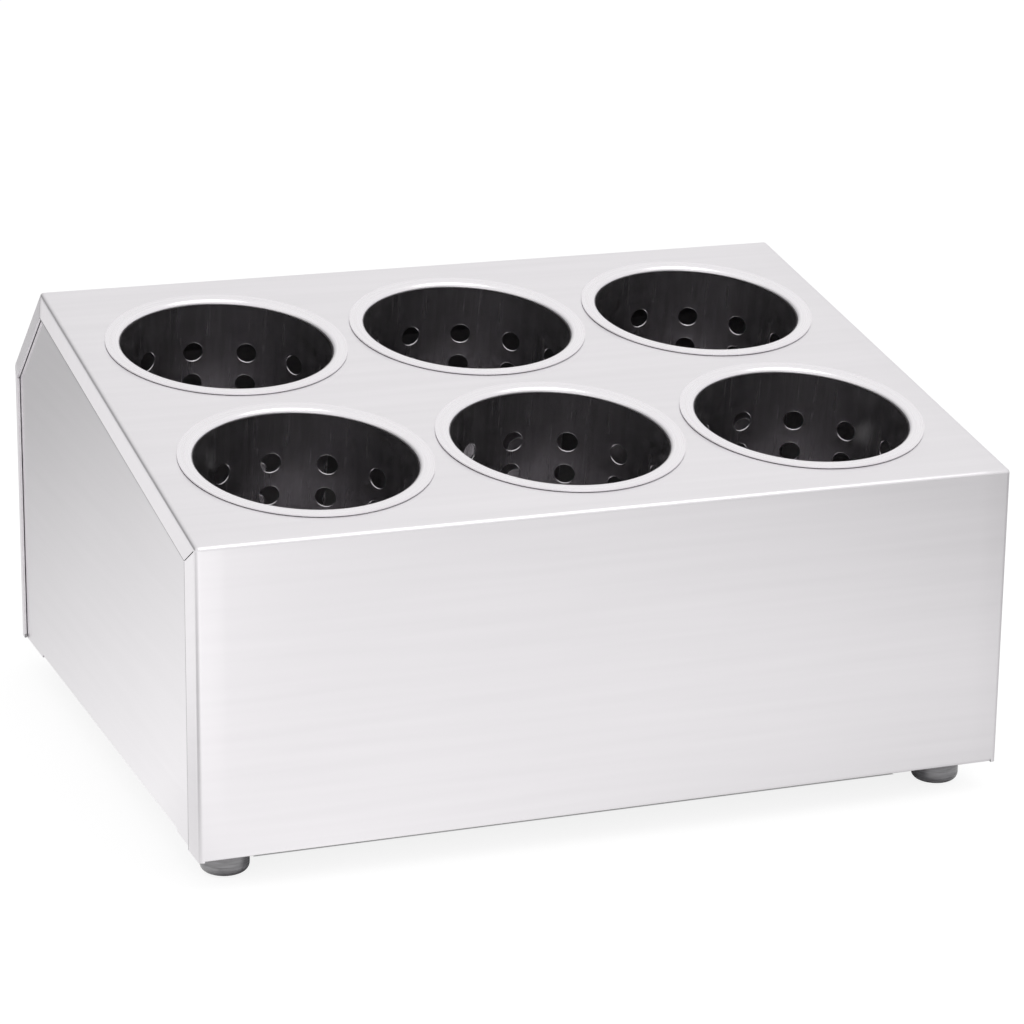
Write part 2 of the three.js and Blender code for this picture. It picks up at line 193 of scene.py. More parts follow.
# Drawn sheet, its streaks in waves per metre round a cup and along its profile
WALL_HAIR = (2400, 60, 1)
WALL_STREAKS = (260, 9, 1)
RIM_HAIR = (30, 2400, 1)
RIM_STREAKS = (8, 600, 1)
HAIR_SHARE = 0.4
DRAWN_TONES = (0.95, 1.03)
DRAWN_ANISOTROPY = 0.5
QUARTER_TURN = 0.25
DRAWN_BUMP = (0.1, 0.00005)

# Zinc plate, its mottle in waves per metre
ZINC = (0.62, 0.62, 0.6)
ZINC_DARK = (0.55, 0.56, 0.55)
ZINC_LIGHT = (0.7, 0.69, 0.66)
ZINC_MOTTLE = 900
ZINC_ROUGHNESS = (0.28, 0.48)

# Rubber, its rings and grain in waves per metre
RUBBER = (0.2, 0.196, 0.205)
RUBBER_DARK = (0.13, 0.127, 0.133)
RUBBER_LIGHT = (0.27, 0.265, 0.277)
RUBBER_IOR = 2.0
RUBBER_RINGS = (90, 90, 900)
RUBBER_ROUGHNESS = (0.24, 0.12)
RUBBER_GRAIN = 2600
RUBBER_BUMP = (0.15, 0.00003)

# Studio floor as the steel mirrors it: painted light, a glow in shares of white with lighter and darker
# areas, which only mirrored rays see. Each way is one that its tones run along
FLOOR_RADIUS = 6.0
FRONT_TONES = (0.96, 0.32)  # the second one far off at the front right
FRONT_START = 0.3
FRONT_END = 0.8
FRONT_WAY = (0.97, -0.25, 0)
LEFT_TONE = 1.22
LEFT_START = 0.235
LEFT_END = 0.3
LEFT_WAY = (-0.933, -0.359, 0)
BACK_TONES = (1.04, 0.5)
BACK_START = -0.2
BACK_END = 0.1
BACK_WAY = (0.84, 0.54, 0)
REARWARDS = (0, 1, 0)
REAR_START = -0.35  # from here on the back's tones take over from the front's
REAR_END = -0.1
DARK_PATCH_CENTRE = (-0.46, -0.2, 0)  # a darker patch painted into the floor's glow, which the front left fold mirrors
DARK_PATCH_TONE = 0.45
DARK_PATCH_RADIUS = 0.12
DARK_PATCH_SOFT = 0.36
MIRROR_UNDER = 0.005  # how far in under the casing the painted shadow in the mirrored floor starts
MIRROR_FADE = 0.01
UNDER_SHADOW_TONE = 0.04

# Studio floor as the eye sees it
SEEN_UNDER = 0.0343  # how far in under the casing it stays white, before its painted shadow starts
SEEN_FADE = 0.0012
SEEN_SHADOW_TONE = 0.2
FLOOR_WHITE = 0.8  # for the light that it throws back on the object
FLOOR_SHADED = 0.22  # the share of what the eye sees that takes the shadow
FLOOR_GLOW = 0.84  # the share that doesn't

# Studio walls and ceiling as the steel mirrors them
HORIZON_TONES = (1.05, 0.4)  # the second one at the back left
HORIZON_WAY = (-0.6, 0.8, 0)
HORIZON_START = 0.45
HORIZON_END = 0.95
ZENITH_TONE = 1.1
ZENITH_START = 0.3
ZENITH_END = 0.75

# Lamp
LAMP_PLACE = Vector((0.3, -0.9, 2.0))
LAMP_TARGET = Vector((0, 0, 0.1))
LAMP_WIDTH = 1.6
LAMP_DEPTH = 1.2
LAMP_WATTS = 8


# Places taken from the frame

def middle_of(name):
    low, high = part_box(name)
    return (low + high) / 2


shell_low, shell_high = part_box("casing_shell")
HALF_WIDTH = shell_high.x
DEPTH = shell_high.y - shell_low.y
BOTTOM = shell_low.z
lift = Vector(frame["joints"][0]["axis"]).normalized()  # square to the top
RAKE = math.atan2(-lift.y, lift.z)
UPHILL = Vector((0, math.cos(RAKE), math.sin(RAKE)))
CREST_DEPTH = DEPTH - CHAMFER_RUN
CREST_HEIGHT = FRONT_HEIGHT + CREST_DEPTH * math.tan(RAKE)
BACK_HEIGHT = CREST_HEIGHT - CHAMFER_DROP
columns = sorted({round(middle_of(name).x, COLUMN_DIGITS) for name in CUP_TURNS})
COLUMN_PITCH = columns[2] - columns[1]

# Lines across the blank
INNER_X = HALF_WIDTH - BEND
LIP_X = HALF_WIDTH - LIP_END_INSET
FIELD_LEFT = columns[0] - COLUMN_PITCH / 2
FIELD_RIGHT = columns[2] + COLUMN_PITCH / 2


def row_point(x, depth, height):
    """A point from a width, a depth behind the front and a height over the bottom edge."""
    return Vector((x, depth + shell_low.y, height + BOTTOM))


# Meshes

def even(low, high, steps):
    """The places from low to high, both of them too, at even steps."""
    return [low + (high - low) * i / steps for i in range(steps + 1)]


def arc(centre_x, centre_y, radius, from_degrees, to_degrees, steps):
    angles = [math.radians(degrees) for degrees in even(from_degrees, to_degrees, steps)]
    return [(centre_x + radius * math.cos(a), centre_y + radius * math.sin(a)) for a in angles]


def full_turn(steps):
    return [2 * math.pi * i / steps for i in range(steps + 1)]


def cell_border(low, high, steps_x, steps_y):
    """A rectangle's outline, with as many steps along each side as it says."""
    across = even(low.x, high.x, steps_x)[:-1]
    up = even(low.y, high.y, steps_y)[:-1]
    back = even(high.x, low.x, steps_x)[:-1]
    down = even(high.y, low.y, steps_y)[:-1]
    border = [Vector((x, low.y)) for x in across] + [Vector((high.x, y)) for y in up]
    return border + [Vector((x, high.y)) for x in back] + [Vector((low.x, y)) for y in down]


def perforated(border, centre, radius):
    """Rows from a round hole out to a border of flat points."""
    edge = [centre + (point - centre).normalized() * radius for point in border]
    shares = even(0, 1, BORDER_STEPS)
    return [[inner.lerp(outer, share) for inner, outer in zip(edge, border)] for share in shares]


def punched(border, centre):
    """Rows of (flat point, dip) from a punched hole's edge over its dish out to a border."""
    rows = []
    for step in range(DISH_STEPS):
        share = step / DISH_STEPS
        radius = PERFORATION + PERFORATION_DISH_WIDTH * share
        dip = PERFORATION_DISH * (1 - share) ** 2
        rows.append([(centre + (p - centre).normalized() * radius, dip) for p in border])
    for row in perforated(border, centre, PERFORATION + PERFORATION_DISH_WIDTH):
        rows.append([(p, 0) for p in row])
    return rows


def painted(faces, slot):
    for face in faces:
        face.material_index = slot


def applied(piece):
    graph = bpy.context.evaluated_depsgraph_get()
    mesh = bpy.data.meshes.new_from_object(
        piece.evaluated_get(graph), preserve_all_data_layers=True, depsgraph=graph
    )
    piece.modifiers.clear()
    piece.data = mesh
    mesh.name = piece.name


def thickened(piece, thickness):
    """The sheet behind a piece's faces, with its far side and its cut edges dressed as such."""
    count = len(piece.data.polygons)
    solidify = piece.modifiers.new("sheet", "SOLIDIFY")
    solidify.thickness = thickness
    solidify.offset = -1
    solidify.use_even_offset = True
    solidify.use_quality_normals = True
    applied(piece)
    painted(piece.data.polygons[count:2 * count], FAR_SIDE)
    painted(piece.data.polygons[2 * count:], EDGE)


def smoothed(piece):
    """Smooth shading with sharp edges, and flats that stay flat next to their bends."""
    piece.data.shade_smooth()
    piece.data.set_sharp_from_angle(angle=SHARP_ANGLE)
    weighted = piece.modifiers.new("flats", "WEIGHTED_NORMAL")
    weighted.keep_sharp = True
    applied(piece)


class Sheet:
    """Faces in the making. Each corner is a point with its place in the flat blank, for the grain."""

    def __init__(self):
        self.bm = bmesh.new()
        self.grain = self.bm.loops.layers.uv.new("grain")

    def face(self, corners, slot):
        """A face without those corners that fall together."""
        kept = []
        for corner in corners:
            if all((corner[0] - other[0]).length > SAME_POINT for other in kept):
                kept.append(corner)
        if len(kept) < 3:
            return
        face = self.bm.faces.new([self.bm.verts.new(point) for point, flat in kept])
        face.material_index = slot
        for loop, (point, flat) in zip(face.loops, kept):
            loop[self.grain].uv = flat

    def patch(self, rows, closed=False, slot=FACE):
        """Quads between rows of corners."""
        for before, after in zip(rows, rows[1:]):
            pairs = list(zip(before, after))
            if closed:
                pairs.append(pairs[0])
            for (a, d), (b, c) in zip(pairs, pairs[1:]):
                self.face([a, b, c, d], slot)

    def lathe(self, profile, turns, slot=FACE):
        """A profile of (radius, height) turned about Z over the angles in turns."""
        rows = []
        length = 0
        last = profile[0]
        for radius, height in profile:
            length += math.dist((radius, height), last)
            last = (radius, height)
            points = [Vector((radius * math.cos(t), radius * math.sin(t), height)) for t in turns]
            rows.append([(point, (CUP_BORE * t, length)) for point, t in zip(points, turns)])
        self.patch(rows, slot=slot)

    def piece(self, name, near, way, materials, thickness=0):
        """The faces as an object. Its face that is nearest to the point near looks that way."""
        bmesh.ops.remove_doubles(self.bm, verts=self.bm.verts, dist=WELD)
        bmesh.ops.recalc_face_normals(self.bm, faces=self.bm.faces)
        nearest = min(self.bm.faces, key=lambda face: (face.calc_center_median() - near).length)
        if nearest.normal.dot(way) < 0:
            bmesh.ops.reverse_faces(self.bm, faces=self.bm.faces)
        mesh = bpy.data.meshes.new(name)
        self.bm.to_mesh(mesh)
        self.bm.free()
        for made in materials:
            mesh.materials.append(made)
        piece = bpy.data.objects.new(name, mesh)
        scene.collection.objects.link(piece)
        if thickness:
            thickened(piece, thickness)
        smoothed(piece)
        return piece


# Casing shell: the outer face of one folded blank, thickened inwards

def leftward(way):
    return Vector((-way.y, way.x))


def moved_corner(points, i, before, after):
    """Corner i of an outline once the edges before and after it have moved inwards."""
    here, last, following = points[i], points[i - 1], points[(i + 1) % len(points)]
    normal_before = leftward((here - last).normalized())
    normal_after = leftward((following - here).normalized())
    cross = normal_before.x * normal_after.y - normal_before.y * normal_after.x
    across = (before * normal_after.y - after * normal_before.y) / cross
    up = (after * normal_before.x - before * normal_after.x) / cross
    return here + Vector((across, up))


def inner_outline(front, top, chamfer, back):
    """The casing's side outline, once each of its faces has moved inwards by its distance."""
    outline = [
        Vector((0, 0)),
        Vector((DEPTH, 0)),
        Vector((DEPTH, BACK_HEIGHT)),
        Vector((CREST_DEPTH, CREST_HEIGHT)),
        Vector((0, FRONT_HEIGHT)),
    ]
    return [
        Vector((front, 0)),
        Vector((DEPTH - back, 0)),
        moved_corner(outline, 2, back, chamfer),
        moved_corner(outline, 3, chamfer, top),
        moved_corner(outline, 4, top, front),
    ]


class Station:
    """A line across the blank: its core point, the way its face looks and its place along the blank."""

    def __init__(self, core, normal, place):
        self.core = core
        self.normal = normal
        self.place = place

    def point(self, x, rise=1):
        """The outer face's point at a width. It stands over the core by a share of the bend."""
        face = self.core + self.normal * BEND * rise
        return row_point(x, face.x, face.y)

    def corner(self, x):
        return self.point(x), (self.place, x)


class Panel:
    """A flat face between the core points of two folds. Its side returns reach from core to window."""

    def __init__(self, core, window, mitred):
        self.start, end = core
        self.way = (end - self.start).normalized()
        self.length = (end - self.start).length
        self.normal = leftward(self.way)
        before, after = [
            self.slit_setback(c, w) if cut else 0 for c, w, cut in zip(core, window, mitred)
        ]
        self.return_start = before
        self.return_end = self.length - after
        self.window_start = window[0] + self.way * before
        self.window_end = window[1] - self.way * after

    def slit_setback(self, core, window):
        """How far along the panel a mitred return starts from the panel's end."""
        slant = (window - core).normalized()
        return MITRE_GAP / 2 / abs(self.way.x * slant.y - self.way.y * slant.x)

    def station(self, along, place):
        return Station(self.start + self.way * along, self.normal, place + along)


class Blank:
    """The stations along the blank, from the front's bottom edge over the top to the back's."""

    def __init__(self):
        core = inner_outline(BEND, BEND, BEND, BEND)
        window = inner_outline(FRONT_FLANGE, TOP_FLANGE, CHAMFER_FLANGE, BACK_FLANGE)
        order = (0, 4, 3, 2, 1)
        front, top, chamfer, back = [
            Panel((core[i], core[j]), (window[i], window[j]), (i != 0, j != 1))
            for i, j in zip(order, order[1:])
        ]
        self.length = 0
        self.stations = []
        self.returns = []
        self.add_panel(front, {BEND})
        self.add_fold(front, top)
        self.add_top(top, BEND * math.tan(front.normal.angle(top.normal) / 2))
        self.add_fold(top, chamfer)
        self.add_panel(chamfer, set())
        self.add_fold(chamfer, back)
        self.add_panel(back, {back.length - BEND})

    def add_top(self, top, fold_run):
        """The top, whose field of holes is measured from the sharp corner of the fold before it."""
        self.top = top
        self.top_place = self.length
        self.fold_run = fold_run
        low = FRONT_ROW - ROW_PITCH / 2 - fold_run
        high = FRONT_ROW + (CUP_ROWS - 1 / 2) * ROW_PITCH - fold_run
        self.field_start = self.top_place + low
        self.field_end = self.top_place + high
        self.add_panel(top, set(even(low, high, CUP_ROWS * HOLE_STEPS)))

    def add_panel(self, panel, more_lines):
        lines = sorted({0, panel.return_start, panel.return_end, panel.length} | more_lines)
        stations = [panel.station(along, self.length) for along in lines]
        low, high = panel.return_start - ROUNDING, panel.return_end + ROUNDING
        returned = [s for s, along in zip(stations, lines) if low <= along <= high]
        self.returns.append((panel, returned))
        self.stations += stations
        self.length += panel.length

    def add_fold(self, before, after):
        """The stations round a fold, without those at its ends."""
        turn = before.normal.angle(after.normal)
        for i in range(1, BEND_STEPS):
            swing = Matrix.Rotation(-turn * i / BEND_STEPS, 2)
            place = self.length + BEND * turn * i / BEND_STEPS
            self.stations.append(Station(after.start, swing @ before.normal, place))
        self.length += BEND * turn


def cross_lines():
    """The widths at which the faces part, from side to side."""
    field = even(FIELD_LEFT, FIELD_RIGHT, len(columns) * HOLE_STEPS)
    return [-INNER_X, -LIP_X] + field + [LIP_X, INNER_X]


def add_faces(sheet, blank):
    """The faces and folds across the blank, without the field of the cups' holes."""
    lines = cross_lines()
    for before, after in zip(blank.stations, blank.stations[1:]):
        middle = (before.place + after.place) / 2
        at_bottom = middle < BEND or middle > blank.length - BEND
        in_field = blank.field_start < middle < blank.field_end
        for left, right in zip(lines, lines[1:]):
            x = (left + right) / 2
            lip_takes_over = at_bottom and abs(x) < LIP_X
            if lip_takes_over or (in_field and FIELD_LEFT < x < FIELD_RIGHT):
                continue
            sheet.patch([[s.corner(left), s.corner(right)] for s in (before, after)])


def add_cup_holes(sheet, blank):
    """The top's square cells, each with its round hole."""
    half = Vector((COLUMN_PITCH / 2, ROW_PITCH / 2))
    for x in columns:
        for row in range(CUP_ROWS):
            middle = Vector((x, FRONT_ROW + row * ROW_PITCH - blank.fold_run))
            border = cell_border(middle - half, middle + half, HOLE_STEPS, HOLE_STEPS)
            rows = []
            for ring in perforated(border, middle, HOLE_RADIUS):
                rows.append([blank.top.station(p.y, blank.top_place).corner(p.x) for p in ring])
            sheet.patch(rows, closed=True)


def add_lip(sheet, wall, inward, fold_place):
    """A lip, folded inwards from the bottom of the front or the back."""
    lines = [x for x in cross_lines() if abs(x) <= LIP_X + ROUNDING]
    rows = []
    for angle in even(0, math.pi / 2, BEND_STEPS):
        depth = wall - inward * BEND * math.cos(angle)
        height = BEND - BEND * math.sin(angle)
        place = fold_place - inward * BEND * angle
        rows.append([(row_point(x, depth, height), (place, x)) for x in lines])
    reach = LIP_WIDTH - BEND
    end = place - inward * reach
    rows.append([(row_point(x, wall + inward * reach, 0), (end, x)) for x in lines])
    sheet.patch(rows)


def add_side_fold(sheet, blank, side):
    rows = []
    for angle in even(0, math.pi / 2, BEND_STEPS):
        x = side * (INNER_X + BEND * math.sin(angle))
        flat = side * (INNER_X + BEND * angle)
        rows.append([(s.point(x, math.cos(angle)), (s.place, flat)) for s in blank.stations])
    sheet.patch(rows)


def add_return(sheet, panel, stations, side):
    """A panel's side return, with a strip along its free edge that is painted darker as the shade line at
    the joint.
    """
    fold_flat = INNER_X + BEND * math.pi / 2
    first, last = stations[0].place, stations[-1].place
    rows = [[], [], []]
    for station in stations:
        along = (station.place - first) / (last - first)
        tip = panel.window_start.lerp(panel.window_end, along)
        width = (tip - station.core).length
        for row, share in zip(rows, (0, 1 - SHADE_STRIP_WIDTH / width, 1)):
            at = station.core.lerp(tip, share)
            flat = (station.place, side * (fold_flat + width * share))
            row.append((row_point(side * HALF_WIDTH, at.x, at.y), flat))
    sheet.patch(rows[:2])
    sheet.patch(rows[1:], slot=EDGE)


def build_shell(materials):
    sheet = Sheet()
    blank = Blank()
    add_faces(sheet, blank)
    add_cup_holes(sheet, blank)
    add_lip(sheet, BEND, 1, BEND)
    add_lip(sheet, DEPTH - BEND, -1, blank.length - BEND)
    for side in (-1, 1):
        add_side_fold(sheet, blank, side)
        for panel, stations in blank.returns:
            add_return(sheet, panel, stations, side)
    front_middle = row_point(0, 0, FRONT_HEIGHT / 2)
    piece = sheet.piece("folded_shell", front_middle, Vector((0, -1, 0)), materials, CASING_SHEET)

    # The edges behind the crest, but not those of the lip, get the edge steel's lighter copy: painted
    # light
    crest = row_point(0, CREST_DEPTH, BEND)
    edges = [face for face in piece.data.polygons if face.material_index == EDGE]
    painted([f for f in edges if f.center.y > crest.y and f.center.z > crest.z], LIT_BACK_EDGE)
    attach(piece, "casing")
    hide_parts("casing_shell")


# Cups: the inner face of the drawn sheet, thickened outwards

AROUND_STEPS = PERFORATIONS_AROUND * CELL_STEPS
CELL_WIDTH = 2 * math.pi * CUP_BORE / PERFORATIONS_AROUND
WALL_FIELD_TOP = RIM_TOP - FIRST_ROW_DEPTH + PERFORATION_ROW_PITCH / 2
WALL_FIELD_BOTTOM = WALL_FIELD_TOP - PERFORATION_ROWS * PERFORATION_ROW_PITCH
CUP_FLOOR = RIM_TOP - CUP_HEIGHT + CUP_SHEET
FLOOR_FIELD_INNER = CUP_BORE / 4
FLOOR_FIELD_OUTER = FLOOR_FIELD_INNER + 2 * (FLOOR_RING - FLOOR_FIELD_INNER)


def add_cup_body(sheet):
    """The rim, the wall and the floor, without their perforated fields."""
    turns = [turn + math.pi / PERFORATIONS_AROUND for turn in full_turn(AROUND_STEPS)]
    rim = [(CUP_BORE + RIM_WIDTH, RIM_TOP)]
    rim += arc(CUP_BORE + RIM_BEND, RIM_TOP - RIM_BEND, RIM_BEND, 90, 180, CUP_BEND_STEPS)
    sheet.lathe(rim, turns, slot=EDGE)
    sheet.lathe([rim[-1], (CUP_BORE, WALL_FIELD_TOP)], turns)
    bend_radius, bend_height = CUP_BORE - CUP_FLOOR_BEND, CUP_FLOOR + CUP_FLOOR_BEND
    lower = [(CUP_BORE, WALL_FIELD_BOTTOM)]
    lower += arc(bend_radius, bend_height, CUP_FLOOR_BEND, 0, -90, CUP_BEND_STEPS)
    lower += [(FLOOR_FIELD_OUTER, CUP_FLOOR)]
    sheet.lathe(lower, turns)
    sheet.lathe([(FLOOR_FIELD_INNER, CUP_FLOOR), (PERFORATION, CUP_FLOOR)], turns)


def wall_point(flat, dip):
    """A place on the wall's blank, (arc length, height), wrapped round the cup."""
    angle = flat.x / CUP_BORE
    radius = CUP_BORE + dip
    return Vector((radius * math.cos(angle), radius * math.sin(angle), flat.y))


def add_wall_perforations(sheet):
    half = Vector((CELL_WIDTH / 2, PERFORATION_ROW_PITCH / 2))
    for row in range(PERFORATION_ROWS):
        for i in range(PERFORATIONS_AROUND):
            height = RIM_TOP - FIRST_ROW_DEPTH - row * PERFORATION_ROW_PITCH
            middle = Vector((CELL_WIDTH * i, height))
            border = cell_border(middle - half, middle + half, CELL_STEPS, CELL_RISE_STEPS)
            rows = []
            for ring in punched(border, middle):
                rows.append([(wall_point(p, dip), (p.x, p.y)) for p, dip in ring])
            sheet.patch(rows, closed=True)


def add_floor_perforations(sheet):
    half_turn = math.pi / FLOOR_PERFORATIONS
    low = Vector((-half_turn, FLOOR_FIELD_INNER))
    high = Vector((half_turn, FLOOR_FIELD_OUTER))
    cell = cell_border(low, high, AROUND_STEPS // FLOOR_PERFORATIONS, CELL_RISE_STEPS)
    for i in range(FLOOR_PERFORATIONS):
        turn = 2 * math.pi * i / FLOOR_PERFORATIONS
        middle = FLOOR_RING * Vector((math.cos(turn), math.sin(turn)))
        border = [Vector((p.y * math.cos(turn + p.x), p.y * math.sin(turn + p.x))) for p in cell]
        rows = []
        for ring in punched(border, middle):
            rows.append([(Vector((p.x, p.y, CUP_FLOOR - dip)), (p.x, p.y)) for p, dip in ring])
        sheet.patch(rows, closed=True)


def build_cup(name, turn, materials):
    sheet = Sheet()
    add_cup_body(sheet)
    add_wall_perforations(sheet)
    add_floor_perforations(sheet)
    rim_middle = Vector((CUP_BORE + RIM_WIDTH / 2, 0, RIM_TOP))
    piece = sheet.piece("drawn_" + name, rim_middle, Vector((0, 0, 1)), materials, CUP_SHEET)
    from_fold = FRONT_ROW + ROW_PITCH if "rear" in name else FRONT_ROW
    centre = row_point(middle_of(name).x, 0, FRONT_HEIGHT) + UPHILL * from_fold
    tilted = Matrix.Rotation(RAKE, 4, "X")
    turned = Matrix.Rotation(math.radians(turn), 4, "Z")
    piece.data.transform(Matrix.Translation(centre) @ tilted @ turned)
    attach(piece, name)
    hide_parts(name)


# Feet and washers

def build_turned(name, profile, node, made):
    """A closed profile turned about the middle of the node that it replaces."""
    sheet = Sheet()
    sheet.lathe(profile + profile[:1], full_turn(ROUND_STEPS))
    top = max(height for radius, height in profile)
    piece = sheet.piece(name, Vector((0, 0, top)), Vector((0, 0, 1)), [made])
    middle = middle_of(node)
    piece.data.transform(Matrix.Translation((middle.x, middle.y, 0)))
    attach(piece, "casing")
    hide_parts(node)


def foot_profile():
    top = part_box("foot_front_left")[1].z
    recess_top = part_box("foot_washer_front_left")[1].z + SEAT_GAP
    top_edge_radius = FOOT_RADIUS - FOOT_TOP_EDGE
    profile = [(SHANK_BORE, recess_top), (RECESS_RADIUS, recess_top), (RECESS_RADIUS, 0)]
    profile += arc(FOOT_RADIUS - FOOT_EDGE, FOOT_EDGE, FOOT_EDGE, -90, 0, FOOT_EDGE_STEPS)
    profile += arc(top_edge_radius, top - FOOT_TOP_EDGE, FOOT_TOP_EDGE, 0, 90, FOOT_TOP_EDGE_STEPS)
    return profile + [(SHANK_BORE, top)]


def washer_profile():
    bottom, top = (corner.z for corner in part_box("foot_washer_front_left"))
    edge_radius = WASHER_RADIUS - WASHER_EDGE
    profile = [(SHANK_BORE, bottom)]
    profile += arc(edge_radius, bottom + WASHER_EDGE, WASHER_EDGE, -90, 0, WASHER_EDGE_STEPS)
    profile += arc(edge_radius, top - WASHER_EDGE, WASHER_EDGE, 0, 90, WASHER_EDGE_STEPS)
    return profile + [(SHANK_BORE, top)]


def build_feet(rubber, zinc):
    foot, washer = foot_profile(), washer_profile()
    for corner in ("front_left", "front_right", "rear_left", "rear_right"):
        build_turned("rubber_foot_" + corner, foot, "foot_" + corner, rubber)
        build_turned("turned_washer_" + corner, washer, "foot_washer_" + corner, zinc)


# Nodes

def fed(tree, socket, value):
    """A socket gets what another socket gives, or a fixed value."""
    if isinstance(value, bpy.types.NodeSocket):
        tree.links.new(value, socket)
    else:
        socket.default_value = value


def noise(tree, vector, scale, detail):
    node = tree.nodes.new("ShaderNodeTexNoise")
    node.inputs["Scale"].default_value = scale
    node.inputs["Detail"].default_value = detail
    tree.links.new(vector, node.inputs["Vector"])
    return node.outputs["Fac"]


def stretched_noise(tree, vector, scale, detail):
    node = tree.nodes.new("ShaderNodeMapping")
    node.inputs["Scale"].default_value = scale
    tree.links.new(vector, node.inputs["Vector"])
    return noise(tree, node.outputs["Vector"], scale=1, detail=detail)


def ranged(tree, value, low, high, from_low=NOISE_LOW, from_high=NOISE_HIGH):
    node = tree.nodes.new("ShaderNodeMapRange")
    node.inputs["From Min"].default_value = from_low
    node.inputs["From Max"].default_value = from_high
    node.inputs["To Min"].default_value = low
    node.inputs["To Max"].default_value = high
    tree.links.new(value, node.inputs["Value"])
    return node.outputs["Result"]


def combined(tree, first, second, share):
    """A mix of two values, with the second one's share."""
    node = tree.nodes.new("ShaderNodeMix")
    fed(tree, node.inputs["Factor"], share)
    fed(tree, node.inputs["A"], first)
    fed(tree, node.inputs["B"], second)
    return node.outputs["Result"]


def mixed_colour(tree, factor, low, high):
    node = tree.nodes.new("ShaderNodeMix")
    node.data_type = "RGBA"
    node.inputs["A"].default_value = (*low, 1)
    node.inputs["B"].default_value = (*high, 1)
    tree.links.new(ranged(tree, factor, 0, 1), node.inputs["Factor"])
    return node.outputs["Result"]


def steel_colour(tree, factor, tone, shares):
    """The steel's tone, which runs between two shares of it."""
    low, high = ([tone * part * share for part in LILAC] for share in shares)
    return mixed_colour(tree, factor, low, high)


def bumped(tree, height, strength, distance, normal=None):
    node = tree.nodes.new("ShaderNodeBump")
    if normal:
        tree.links.new(normal, node.inputs["Normal"])
    node.inputs["Strength"].default_value = strength
    node.inputs["Distance"].default_value = distance
    tree.links.new(height, node.inputs["Height"])
    return node.outputs["Normal"]


def calculated(tree, operation, *values):
    node = tree.nodes.new("ShaderNodeMath")
    node.operation = operation
    for socket, value in zip(node.inputs, values):
        fed(tree, socket, value)
    return node.outputs[0]


def vector_step(tree, operation, *values):
    node = tree.nodes.new("ShaderNodeVectorMath")
    node.operation = operation
    for socket, value in zip(node.inputs, values):
        fed(tree, socket, value)
    measured = operation in ("DISTANCE", "DOT_PRODUCT")
    return node.outputs["Value"] if measured else node.outputs["Vector"]


def separated(tree, vector):
    node = tree.nodes.new("ShaderNodeSeparateXYZ")
    tree.links.new(vector, node.inputs[0])
    return node.outputs


def axis_vector(tree, axis, value):
    node = tree.nodes.new("ShaderNodeCombineXYZ")
    fed(tree, node.inputs[axis], value)
    return node.outputs["Vector"]


def object_place(tree):
    return tree.nodes.new("ShaderNodeTexCoord").outputs["Object"]


def grain_place(tree):
    node = tree.nodes.new("ShaderNodeUVMap")
    node.uv_map = "grain"
    return node.outputs["UV"]


def shader_mix(tree, factor, first, second):
    node = tree.nodes.new("ShaderNodeMixShader")
    for socket, value in zip(node.inputs, (factor, first, second)):
        tree.links.new(value, socket)
    return node.outputs[0]


# Materials

def material(name, colour, metallic, roughness):
    made = bpy.data.materials.new(name)
    made.use_nodes = True
    shader = made.node_tree.nodes["Principled BSDF"]
    shader.inputs["Base Color"].default_value = (*colour, 1)
    shader.inputs["Metallic"].default_value = metallic
    shader.inputs["Roughness"].default_value = roughness
    return made, made.node_tree, shader


def grain_tangent(tree, shader, anisotropy, turn=0.0):
    """Gloss that spreads across the grain. The grain runs along V, or along U after a quarter turn."""
    tangent = tree.nodes.new("ShaderNodeTangent")
    tangent.direction_type = "UV_MAP"
    tangent.uv_map = "grain"
    tree.links.new(tangent.outputs["Tangent"], shader.inputs["Tangent"])
    shader.inputs["Anisotropic"].default_value = anisotropy
    shader.inputs["Anisotropic Rotation"].default_value = turn


def brushed(tree, shader, vector, hair_scale, band_scale, normal=None):
    """Satin sheet with fine hair and coarser bands along the grain."""
    hair = stretched_noise(tree, vector, hair_scale, detail=1)
    band = stretched_noise(tree, vector, band_scale, detail=1)
    cloud = noise(tree, vector, SHEET_CLOUD, detail=3)
    lines = combined(tree, hair, band, BAND_SHARE)
    rough_lines = ranged(tree, lines, *GRAIN_ROUGHNESS)
    rough_cloud = ranged(tree, cloud, *CLOUD_ROUGHNESS)
    colour = steel_colour(tree, lines, SHEET_TONE, GRAIN_TONES)
    tree.links.new(colour, shader.inputs["Base Color"])
    rough = combined(tree, rough_lines, rough_cloud, CLOUD_SHARE)
    tree.links.new(rough, shader.inputs["Roughness"])
    tree.links.new(bumped(tree, band, *GRAIN_BUMP, normal), shader.inputs["Normal"])


def crowned(tree):
    """The faces fall away a little beside the side folds, and the returns lean, but for the chamfer's."""
    place = separated(tree, grain_place(tree))
    reach = calculated(tree, "ABSOLUTE", place["Y"])
    start = INNER_X - CROWN_WIDTH
    end = INNER_X + BEND * math.pi / 2
    curve = calculated(tree, "POWER", ranged(tree, reach, 0, 1, start, end), CROWN_POWER)
    rounded = bumped(tree, curve, 1, (start - end) * CROWN_SLOPE)

    crest = FRONT_HEIGHT + CREST_DEPTH / math.cos(RAKE)
    knee = crest + math.hypot(CHAMFER_RUN, CHAMFER_DROP)
    before = ranged(tree, place["X"], 1, 0, crest - LEAN_FADE, crest)
    behind = ranged(tree, place["X"], 0, 1, knee - LEAN_FADE, knee)
    beside = ranged(tree, reach, 0, -RETURN_LEAN, end, end + FOLD_EDGE)
    lean = calculated(tree, "MULTIPLY", beside, calculated(tree, "MAXIMUM", before, behind))
    leaning = vector_step(tree, "ADD", rounded, axis_vector(tree, "Y", lean))
    return vector_step(tree, "NORMALIZE", leaning)


